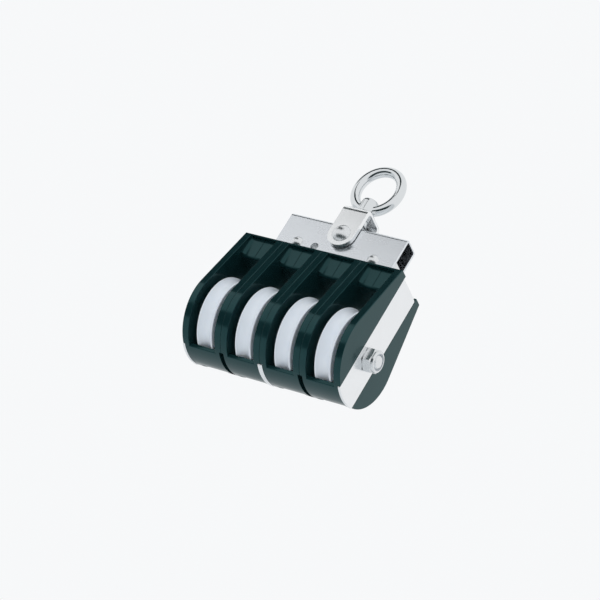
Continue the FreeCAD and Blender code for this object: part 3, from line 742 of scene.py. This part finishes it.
@dataclass
class ClevisHead(SubAssembly):
    """Clevis plate and the rivet on which it tilts."""

    body: str = "clevis"
    width: float = 17.0
    span: float = 19.6
    plate: float = 2.8
    bend: float = 2.0
    corner: float = 2.0
    shank_hole: float = 7.56
    pivot_hole: float = 8.04
    rivet_shank: float = 8.0
    rivet_head: float = 11.2
    rivet_dome: float = 2.9
    rim_height: float = 0.35

    def build_plate(self) -> None:
        """Fold the plate, round its ends and drill it."""
        half, top = self.width / 2, LEVELS.clevis_top
        section = folded(self.span / 2, top, self.plate, self.bend, LEVELS.pivot - half - 1)
        plate = Bench.prism("clevis_plate", Plane.YZ, section, self.width + 2)
        edge, high = self.corner, top - LEVELS.pivot
        corner = arc((half - edge, high - edge), edge, 0, 90, 6)
        profile = [*arc((0.0, 0.0), half, 180, 360, 40), *corner, *flipped(corner)]
        keep = Bench.prism("profile", Plane.XZ, profile, THROUGH, (0.0, 0.0, LEVELS.pivot))
        Bench.carve(plate, keep, "INTERSECT")
        Bench.drill(plate, Turning.ALONG_Y, (0.0, 0.0, LEVELS.pivot), self.pivot_hole)
        Bench.drill(plate, Turning.ALONG_Z, (0.0, 0.0, top), self.shank_hole, 20.0)
        Bench.soften(plate, 0.3)
        Bench.finish(plate)
        self.hand_over(plate, CLEVIS_STEEL, "clevis")

    def build_rivet(self) -> None:
        """Turn the pivot rivet with a dome at each end."""
        grip, rim, outer = self.span / 2, self.rim_height, self.rivet_head / 2
        half = [(grip, self.rivet_shank / 2), (grip, outer - 0.1), (grip + 0.1, outer), (grip + 0.22, outer),
                (grip + rim, outer - 0.12),
                *dome(self.rivet_head - 0.5, self.rivet_dome - rim, grip + rim, 14)]
        rivet = Bench.lathe("pivot_rivet", Turning.ALONG_Y, flipped(half) + half,
                            (0.0, 0.0, LEVELS.pivot), 72)
        Bench.finish(rivet, 40.0)
        self.hand_over(rivet, BRIGHT_STEEL, "clevis_rivet")

    def build(self) -> None:
        """Build the plate and its rivet."""
        self.build_plate()
        self.build_rivet()


@dataclass
class HeadChannel(SubAssembly):
    """Folded sheet over the tie bar, with its two rivets."""

    length: float = 79.0
    half: float = 6.5
    height: float = 26.6
    plate: float = 1.5
    bend: float = 1.0
    corner: float = 1.2
    pivot_hole: float = 8.1
    becket: Pair = (-13.6, 7.4)
    becket_hole: float = 4.6
    rivets: Pair = (-25.7, 25.7)
    rivet_rise: float = 7.6
    rivet_shank: float = 4.0
    rivet_head: float = 7.2
    rivet_dome: float = 2.1

    def build_sheet(self) -> None:
        """Fold the sheet and drill its holes."""
        foot = LEVELS.strap_top
        section = folded(self.half, foot + self.height, self.plate, self.bend, foot)
        sheet = Bench.prism("channel_sheet", Plane.YZ, section, self.length + 2)
        end, edge, high, low = self.length / 2, self.corner, self.height, -9.0
        corner = arc((end - edge, high - edge), edge, 0, 90, 5)
        profile = [(-end, low), (end, low), *corner, *flipped(corner)]
        keep = Bench.prism("profile", Plane.XZ, profile, THROUGH, (0.0, 0.0, foot))
        Bench.carve(sheet, keep, "INTERSECT")
        rivet_hole = self.rivet_shank + 0.04
        holes = ((0.0, LEVELS.pivot - foot, self.pivot_hole), (*self.becket, self.becket_hole),
                 *((across, self.rivet_rise, rivet_hole) for across in self.rivets))
        for across, rise, width in holes:
            Bench.drill(sheet, Turning.ALONG_Y, (across, 0.0, foot + rise), width)
        Bench.soften(sheet, 0.2)
        Bench.finish(sheet)
        self.hand_over(sheet, CHANNEL_STEEL, "head_channel")

    def build_rivets(self) -> None:
        """Turn one domed rivet and copy it to the other end."""
        half = [(self.half, self.rivet_shank / 2), *dome(self.rivet_head, self.rivet_dome, self.half, 12)]
        left, right = self.rivets
        first = Bench.lathe("channel_rivet_left", Turning.ALONG_Y, flipped(half) + half,
                            (left, 0.0, LEVELS.strap_top + self.rivet_rise), 56)
        Bench.finish(first, 40.0)
        second = Bench.duplicate(first, "channel_rivet_right", (right - left, 0.0, 0.0))
        self.hand_over(first, BRIGHT_STEEL, "head_rivet_left")
        self.hand_over(second, BRIGHT_STEEL, "head_rivet_right")

    def build(self) -> None:
        """Build the sheet and its rivets, and paint what stays."""
        self.build_sheet()
        self.build_rivets()
        self.paint(BRIGHT_STEEL, "tie_bar", "pivot_sleeve", "strap_screws")


@dataclass
class Straps(SubAssembly):
    """Two folded straps, each over a pair of shells."""

    half: float = 26.5
    width: float = 20.0
    plate: float = 1.5
    bend: float = 1.5
    end_radius: float = 28.3
    axle_hole: float = 8.2
    screw_hole: float = 4.04
    screws: Pair = (-18.75, 7.75)
    drill_length: float = 80.0

    def build(self) -> None:
        """Fold one strap, round its ends, drill it and turn a copy round for the other side."""
        axle, middle = LEVELS.axle, self.half
        section = folded(self.half, LEVELS.strap_top, self.plate, self.bend, axle - self.end_radius - 1)
        strap = Bench.prism("strap_sheet_right", Plane.XZ, section, self.width, (middle, 0.0, 0.0))
        reach, low = self.width * 0.6, -self.end_radius * 2
        turn = math.degrees(math.acos(reach / self.end_radius))
        waste = [*arc((0.0, 0.0), self.end_radius, 180 + turn, 360 - turn, 32), (reach, low), (-reach, low)]
        spot = (middle, 0.0, axle)
        Bench.carve(strap, Bench.prism("waste", Plane.YZ, waste, self.drill_length * 1.5, spot))
        Bench.drill(strap, Turning.ALONG_X, spot, self.axle_hole, self.drill_length)
        for across in self.screws:
            spot = (middle + across, 0.0, LEVELS.strap_top)
            Bench.drill(strap, Turning.ALONG_Z, spot, self.screw_hole, 20.0)
        Bench.soften(strap, 0.22)
        Bench.finish(strap)
        other = Bench.duplicate(strap, "strap_sheet_left", (0.0, 0.0, 0.0))
        other.data.transform(Matrix.Rotation(math.pi, 4, "Z"))
        self.hand_over(strap, STRAP_STEEL, "strap_right")
        self.hand_over(other, STRAP_STEEL, "strap_left")


@dataclass
class Shells(SubAssembly):
    """Four moulded shells, modelled once."""

    width: float = 26.5
    radius: float = 27.8
    top_half: float = 16.0
    rise: float = 50.5
    rim_round: float = 0.4
    window: float = 18.0
    window_round: float = 0.3
    base_half: float = 9.0
    base_wall: float = 2.1
    bridge_rise: float = 36.0
    bridge_face: float = 13.6
    bridge_edge: float = 1.5
    bridge_corner: float = 2.4
    lip: float = 1.2
    slot: float = 20.4
    plate: float = 1.5
    seat_round: float = 1.7
    axle_hole: float = 8.2
    relief: Triple = (18.0, 9.0, 3.2)
    seam_width: float = 0.5
    seam_depth: float = 0.25

    def flank(self) -> float:
        """Angle above the horizontal at which a flank leaves the lower arc, in degrees."""
        reach = math.hypot(self.top_half, self.rise)
        return math.degrees(math.atan2(self.rise, self.top_half) - math.acos(self.radius / reach))

    def outline(self) -> list[Pair]:
        """Side view: an arc about the axle with a straight flank on each side."""
        angle = self.flank()
        lower = arc((0.0, 0.0), self.radius, 180 - angle, 360 + angle, 72)
        return [*lower, (self.top_half, self.rise), (-self.top_half, self.rise)]

    def on_rim(self, first: Vector, second: Vector) -> bool:
        """Tell whether an edge lies on an outer rim or along the front or back of the top."""
        ends, run = (first, second), abs(first.x - second.x)
        if all(abs(end.z - LEVELS.axle - self.rise) < NEAR for end in ends):
            return run > 1.0
        return run < NEAR and all(abs(abs(end.x - PLACES[3]) - self.width / 2) < NEAR for end in ends)

    def on_window_rim(self, first: Vector, second: Vector) -> bool:
        """Tell whether an edge lies where the window opens through the outer surface."""
        angle, close, shortest = math.radians(self.flank()), 0.05, 0.6
        for end in (first, second):
            across, up = abs(end.y), end.z - LEVELS.axle
            flank = abs(across * math.cos(angle) + up * math.sin(angle) - self.radius) < close
            round_part = abs(math.hypot(across, up) - self.radius) < close
            if abs(abs(end.x - PLACES[3]) - self.window / 2) > NEAR or not (flank or round_part):
                return False
        return (first - second).length > shortest

    def window_outline(self) -> list[Pair]:
        """Side view of what is taken out between the cheeks."""
        inner = self.radius - self.base_wall
        turn = math.degrees(math.asin(self.base_half / inner))
        bottom = arc((0.0, 0.0), inner, 270 - turn, 270 + turn, 20)
        face, low, edge = self.bridge_face, self.bridge_rise, self.bridge_edge
        right = arc((face - edge, low + edge), edge, 0, -90, 5)
        return [*bottom, (self.base_half, -FAR), (FAR, -FAR), (FAR, low + edge), *right, *flipped(right),
                (-FAR, low + edge), (-FAR, -FAR), (-self.base_half, -FAR)]

    def cut_face(self, shell: Piece, side: float, middle: Triple) -> None:
        """Sink one face of the bridge under the shell's top, with rounded corners.

        Args:
            shell: The shell being cut.
            side: 1 for the back and -1 for the front.
            middle: Centre of the shell on the axle.
        """
        half, corner, near = self.window / 2, self.bridge_corner, self.bridge_face
        right = arc((half - corner, near + corner), corner, 0, -90, 6)
        shape = [(half, FAR), *right, *flipped(right), (-half, FAR)]
        wide, deep = self.seam_width / 2, near - self.seam_depth
        seam = [(-wide, near + 1), (-wide, deep), (wide, deep), (wide, near + 1)]
        low, high = self.bridge_rise - self.lip, self.rise - self.lip
        place = (middle[0], 0.0, middle[2] + (low + high) / 2)
        for name, line in (("face", shape), ("seam", seam)):
            corners = [(across, along * side) for across, along in line]
            Bench.carve(shell, Bench.prism(name, Plane.XY, corners, high - low, place))

    def seat_outline(self) -> list[Pair]:
        """Front view of what is taken out for the strap, round three sides."""
        inner, high, bend = self.width / 2 - self.plate, self.rise - self.plate, self.seat_round
        left = arc((bend - inner, high - bend), bend, 180, 90, 5)
        wide = self.width
        return [(-wide, -FAR), (-inner, -FAR), *left, *flipped(left), (inner, -FAR), (wide, -FAR),
                (wide, FAR), (-wide, FAR)]

    def build(self) -> None:
        """Model the fourth shell and copy it to the other places."""
        middle = (PLACES[3], 0.0, LEVELS.axle)
        shell = Bench.prism("shell_moulding_4", Plane.YZ, self.outline(), self.width, middle)
        Bench.round_edges(shell, self.rim_round, 5, self.on_rim)
        window = Bench.prism("window", Plane.YZ, self.window_outline(), self.window, middle)
        Bench.carve(shell, window)
        for side in (-1.0, 1.0):
            self.cut_face(shell, side, middle)
        Bench.round_edges(shell, self.window_round, 3, self.on_window_rim)
        Bench.carve(shell, Bench.prism("seat", Plane.XZ, self.seat_outline(), self.slot, middle))
        long, wide, deep = self.relief
        base = self.rise - self.plate - deep
        pocket = [(-long / 2, base), (long / 2, base), (long / 2, self.rise), (-long / 2, self.rise)]
        Bench.carve(shell, Bench.prism("pocket", Plane.XZ, pocket, wide, middle))
        Bench.drill(shell, Turning.ALONG_X, middle, self.axle_hole)
        Bench.finish(shell)
        self.hand_over(shell, SHELL_BLACK, "shell_4")
        for index, place in enumerate(PLACES[:3], 1):
            copy = Bench.duplicate(shell, f"shell_moulding_{index}", (place - PLACES[3], 0.0, 0.0))
            self.hand_over(copy, SHELL_BLACK, f"shell_{index}")


@dataclass
class Sheaves(SubAssembly):
    """Four turned sheaves, modelled once."""

    radius: float = 25.0
    half: float = 8.5
    flange: float = 5.3
    web: float = 3.4
    groove: float = 2.6
    flat: float = 1.1
    edge: float = 0.4
    hub: float = 10.5
    web_radius: float = 19.6
    web_slope: float = 1.5
    bore: float = 12.2
    ease: float = 0.4

    def side(self) -> list[Pair]:
        """Half section of one side, from the bore to the flange's top."""
        rim = arc((self.flange - self.edge, self.radius - self.edge), self.edge, 0, 90, 6)
        line = [(self.half - self.ease, self.bore / 2), (self.half, self.bore / 2 + self.ease),
                (self.half, self.hub), (self.web, self.hub + self.web_slope),
                (self.web, self.web_radius - self.web_slope), (self.flange, self.web_radius), rim[0]]
        return [line[0], *eased(line[1:], self.ease), *rim[1:]]

    def groove_line(self) -> list[Pair]:
        """Half section of the rope groove, from flange to flange."""
        throat = self.flange - self.flat
        bend = (throat * throat + self.groove * self.groove) / (2 * self.groove)
        span = math.degrees(math.asin(throat / bend))
        centre = (0.0, self.radius - self.groove + bend)
        return arc(centre, bend, -90 + span, -90 - span, 24)

    def build(self) -> None:
        """Turn the fourth sheave and copy it to the other places."""
        side = self.side()
        sheave = Bench.lathe("sheave_turning_4", Turning.ALONG_X,
                             side + self.groove_line() + flipped(side),
                             (PLACES[3], 0.0, LEVELS.axle), 128, ring=True)
        Bench.finish(sheave, 50.0)
        for index, place in enumerate(PLACES, 1):
            shift, name = (place - PLACES[3], 0.0, 0.0), f"sheave_turning_{index}"
            piece = sheave if index == 4 else Bench.duplicate(sheave, name, shift)
            self.body = f"sheave_{index}"
            self.hand_over(piece, SHEAVE_WHITE, self.body)


@dataclass
class AxleSet(SubAssembly):
    """Axle bolt and its lock nut; the sleeves stay as they are."""

    seat: float = 53.0
    shank: float = 8.0
    flats: float = 13.0
    head: float = 5.3
    hexagon: float = 5.0
    height: float = 6.6
    collar: float = 12.4
    collar_round: float = 1.0
    insert: float = 10.4
    insert_deep: float = 1.2
    chamfer: Pair = (0.62, 0.15)
    lip: float = 0.4
    lip_bore: float = 9.6
    tip: float = 0.2

    def hexagonal(self, name: str, start: float, way: float, height: float, chamfers: Sequence[bool],
                  crown: Sequence[Pair] = ()) -> Piece:
        """Model a hexagon along the axle with chamfered corners.

        Args:
            name: Name of the new piece.
            start: Where its seat is along the axle.
            way: 1 if it grows along X and -1 if against it.
            height: Its height.
            chamfers: Whether its seat and its outer end are chamfered.
            crown: Half section of a collar that stands on it.

        Returns:
            The hexagon, with its collar.
        """
        corner = self.flats / math.sqrt(3)
        outline = [(corner * math.cos(math.radians(turn)), corner * math.sin(math.radians(turn)))
                   for turn in range(30, 390, 60)]
        deep = max([height] + [place for place, _ in crown])
        middle = (start + way * deep / 2, 0.0, LEVELS.axle)
        block = Bench.prism(name, Plane.YZ, outline, deep, middle)
        ease, flat, past = self.chamfer[0], self.flats / 2 - self.chamfer[1], corner + 0.1
        low = [(0.0, flat), (ease, past)] if chamfers[0] else [(0.0, past)]
        high = [(height - ease, past), (height, flat)] if chamfers[1] else [(height, past)]
        section = [(0.0, 0.0), *low, *high, *crown, (deep, 0.0)]
        cone = Bench.lathe("cone", Turning.ALONG_X, [(way * place, radius) for place, radius in section],
                           (start, 0.0, LEVELS.axle), 96)
        Bench.carve(block, cone, "INTERSECT")
        return block

    def build_bolt(self) -> None:
        """Model the bolt with its hexagon head on the left."""
        bolt = self.hexagonal("axle_bolt_steel", -self.seat, -1.0, self.head, (False, True))
        end, radius = self.seat + self.height + self.tip, self.shank / 2
        section = [(-self.seat - 1.0, 0.0), (-self.seat - 1.0, radius), (end - 0.8, radius),
                   (end, radius - 0.8), (end, 0.0)]
        shank = Bench.lathe("shank", Turning.ALONG_X, section, (0.0, 0.0, LEVELS.axle), 64)
        Bench.carve(bolt, shank, "UNION")
        Bench.soften(bolt, 0.12)
        Bench.finish(bolt)
        self.hand_over(bolt, BRIGHT_STEEL, "axle_bolt")

    def build_nut(self) -> None:
        """Model the nut with its rounded collar and the pocket for its ring."""
        bore, outer, ease = self.shank / 2 + 0.02, self.collar / 2, self.collar_round
        crown = [(self.hexagon, outer), *arc((self.height - ease, outer - ease), ease, 90, 0, 8)]
        nut = self.hexagonal("lock_nut_steel", self.seat, 1.0, self.hexagon, (True, True), crown)
        spot = (self.seat, 0.0, LEVELS.axle)
        deep = self.height - self.lip
        hollow = [(-1.0, 0.0), (-1.0, bore), (deep - self.insert_deep, bore),
                  (deep - self.insert_deep, self.insert / 2), (deep, self.insert / 2),
                  (deep, self.lip_bore / 2), (self.height + 1, self.lip_bore / 2), (self.height + 1, 0.0)]
        Bench.carve(nut, Bench.lathe("hollow", Turning.ALONG_X, hollow, spot, 96))
        Bench.soften(nut, 0.05, steps=2)
        Bench.finish(nut)
        self.hand_over(nut, BRIGHT_STEEL, "lock_nut")

    def build(self) -> None:
        """Build bolt and nut, and paint the sleeves and the nut's ring."""
        self.build_bolt()
        self.build_nut()
        self.paint(BRIGHT_STEEL, *(f"bearing_sleeve_{index}" for index in range(1, 5)))
        self.paint(INSERT_GREY, "lock_nut_insert")


@dataclass(frozen=True)
class Panel:
    """A soft box or dark flag that hangs in the room and faces the block, in metres."""

    name: str
    towards: Triple
    distance: float
    size: Pair
    radiance: float = 0.0

    def way(self) -> Vector:
        """Give the direction from the block to the panel."""
        return Vector(self.towards).normalized()

    def turn(self) -> Euler:
        """Give the turn with which it faces the block."""
        return self.way().to_track_quat("Z", "Y").to_euler()


@dataclass
class Studio:
    """Pale floor, pale surroundings, soft boxes, dark flags and the camera."""

    camera_place: Triple = (0.6723043, -0.9269618, -0.6162862)
    right: Triple = (0.817152, 0.32439258, 0.47647881)
    up: Triple = (-0.21178559, -0.59983686, 0.77158447)
    back: Triple = (0.53610583, -0.73141315, -0.42145622)
    lens: float = 135.9576
    room: Triple = (0.80, 0.83, 0.85)
    backdrop: Triple = (0.93, 0.94, 0.95)
    floor_level: float = -0.80
    floor_colours: tuple[Triple, Triple] = ((0.80, 0.81, 0.82), (0.84, 0.85, 0.86))
    flag_colours: tuple[Triple, Triple] = ((0.010, 0.022, 0.024), (0.016, 0.032, 0.034))
    middle: Triple = (0.0, 0.0, -0.07)
    boxes: tuple[Panel, ...] = (
        Panel("box_back_right", (0.54, 0.73, 0.42), 1.3, (1.3, 1.0), 1.0),
        Panel("box_front_left", (-0.54, -0.73, 0.42), 1.5, (1.3, 0.7), 0.65),
        Panel("box_overhead", (0.1, 0.1, 1.0), 1.5, (1.2, 1.2), 0.6),
    )
    flags: tuple[Panel, ...] = (
        Panel("flag_left", (-0.54, -0.46, 0.69), 0.9, (0.9, 0.34)),
        Panel("flag_low_front", (0.06, -0.86, -0.5), 1.0, (2.4, 0.75)),
    )

    def place_camera(self) -> None:
        """Set the camera where the photograph was taken from."""
        data = bpy.data.cameras.new("camera")
        data.lens = self.lens
        data.sensor_width = 36.0
        data.clip_start = 0.05
        data.clip_end = 50.0
        camera = bpy.data.objects.new("camera", data)
        bpy.context.scene.collection.objects.link(camera)
        turn = Matrix((self.right, self.up, self.back)).transposed()
        camera.matrix_world = Matrix.Translation(Vector(self.camera_place)) @ turn.to_4x4()
        bpy.context.scene.camera = camera

    def hang_box(self, panel: Panel) -> None:
        """Hang one soft box, whose radiance is 1 where its surface is white."""
        data = bpy.data.lights.new(panel.name, "AREA")
        data.shape = "RECTANGLE"
        data.size, data.size_y = panel.size
        data.energy = panel.radiance * math.pi * panel.size[0] * panel.size[1]
        lamp = bpy.data.objects.new(panel.name, data)
        lamp.location = Vector(self.middle) + panel.way() * panel.distance
        lamp.rotation_euler = panel.turn()
        lamp.visible_camera = False
        lamp.visible_glossy = False
        bpy.context.scene.collection.objects.link(lamp)

    def light_room(self) -> None:
        """Light the block evenly, with a pale background for the camera and for gloss."""
        world = bpy.data.worlds.new("room")
        bpy.context.scene.world = world
        world.use_nodes = True
        graph = Graph.of_tree(world.node_tree)
        seen = graph.add("ShaderNodeLightPath", output="Is Camera Ray")
        for ray in ("Is Glossy Ray", "Is Transmission Ray"):
            seen = seen.math("MAXIMUM", seen, graph.add("ShaderNodeLightPath", output=ray))
        room = graph.add("ShaderNodeBackground", None, {"Color": (*self.room, 1.0), "Strength": 1.0})
        pale = graph.add("ShaderNodeBackground", None, {"Color": (*self.backdrop, 1.0), "Strength": 1.0})
        mixed = graph.add("ShaderNodeMixShader", None, {0: seen, 1: room, 2: pale})
        graph.tree.links.new(mixed.socket, graph.tree.nodes.new("ShaderNodeOutputWorld").inputs["Surface"])

    @staticmethod
    def dress(plane: Piece, name: str, colours: tuple[Triple, Triple], scale: float,
              roughness: float) -> None:
        """Give a plane of the room its matt finish, clouded from one colour to another."""
        graph = Graph(name)
        colour = graph.tint(graph.cloud(scale), *colours)
        plane.data.materials.append(graph.close(Base_Color=colour, Roughness=roughness))

    def hang_flag(self, panel: Panel) -> None:
        """Hang one dark flag, which only gloss shows, for contrast in the steel."""
        Bench.clear()
        place = Vector(self.middle) + panel.way() * panel.distance
        bpy.ops.mesh.primitive_plane_add(size=1.0, location=place, rotation=panel.turn())
        flag = bpy.context.object
        flag.name = panel.name
        flag.scale = (*panel.size, 1.0)
        flag.visible_camera = False
        flag.visible_diffuse = False
        flag.visible_shadow = False
        self.dress(flag, panel.name, self.flag_colours, 8.0, 0.9)

    def lay_floor(self) -> None:
        """Lay the pale floor well below the block."""
        Bench.clear()
        bpy.ops.mesh.primitive_plane_add(size=12.0, location=(0.0, 0.0, self.floor_level))
        floor = bpy.context.object
        floor.name = "floor"
        self.dress(floor, "pale_floor", self.floor_colours, 3.0, 0.8)

    def build(self) -> None:
        """Set up the room, the lamps, the flags and the camera."""
        bpy.context.scene.view_settings.view_transform = "Standard"
        self.light_room()
        self.lay_floor()
        for panel in self.boxes:
            self.hang_box(panel)
        for panel in self.flags:
            self.hang_flag(panel)
        self.place_camera()


def main() -> None:
    """Build the block's looks in order, then the room around it."""
    logging.basicConfig(level=logging.INFO, format="%(name)s: %(message)s", force=True)
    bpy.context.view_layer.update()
    for part in (SwivelEye(), ClevisHead(), HeadChannel(), Straps(), Shells(), Sheaves(), AxleSet()):
        part.build()
    Studio().build()


if __name__ == "__main__":
    main()
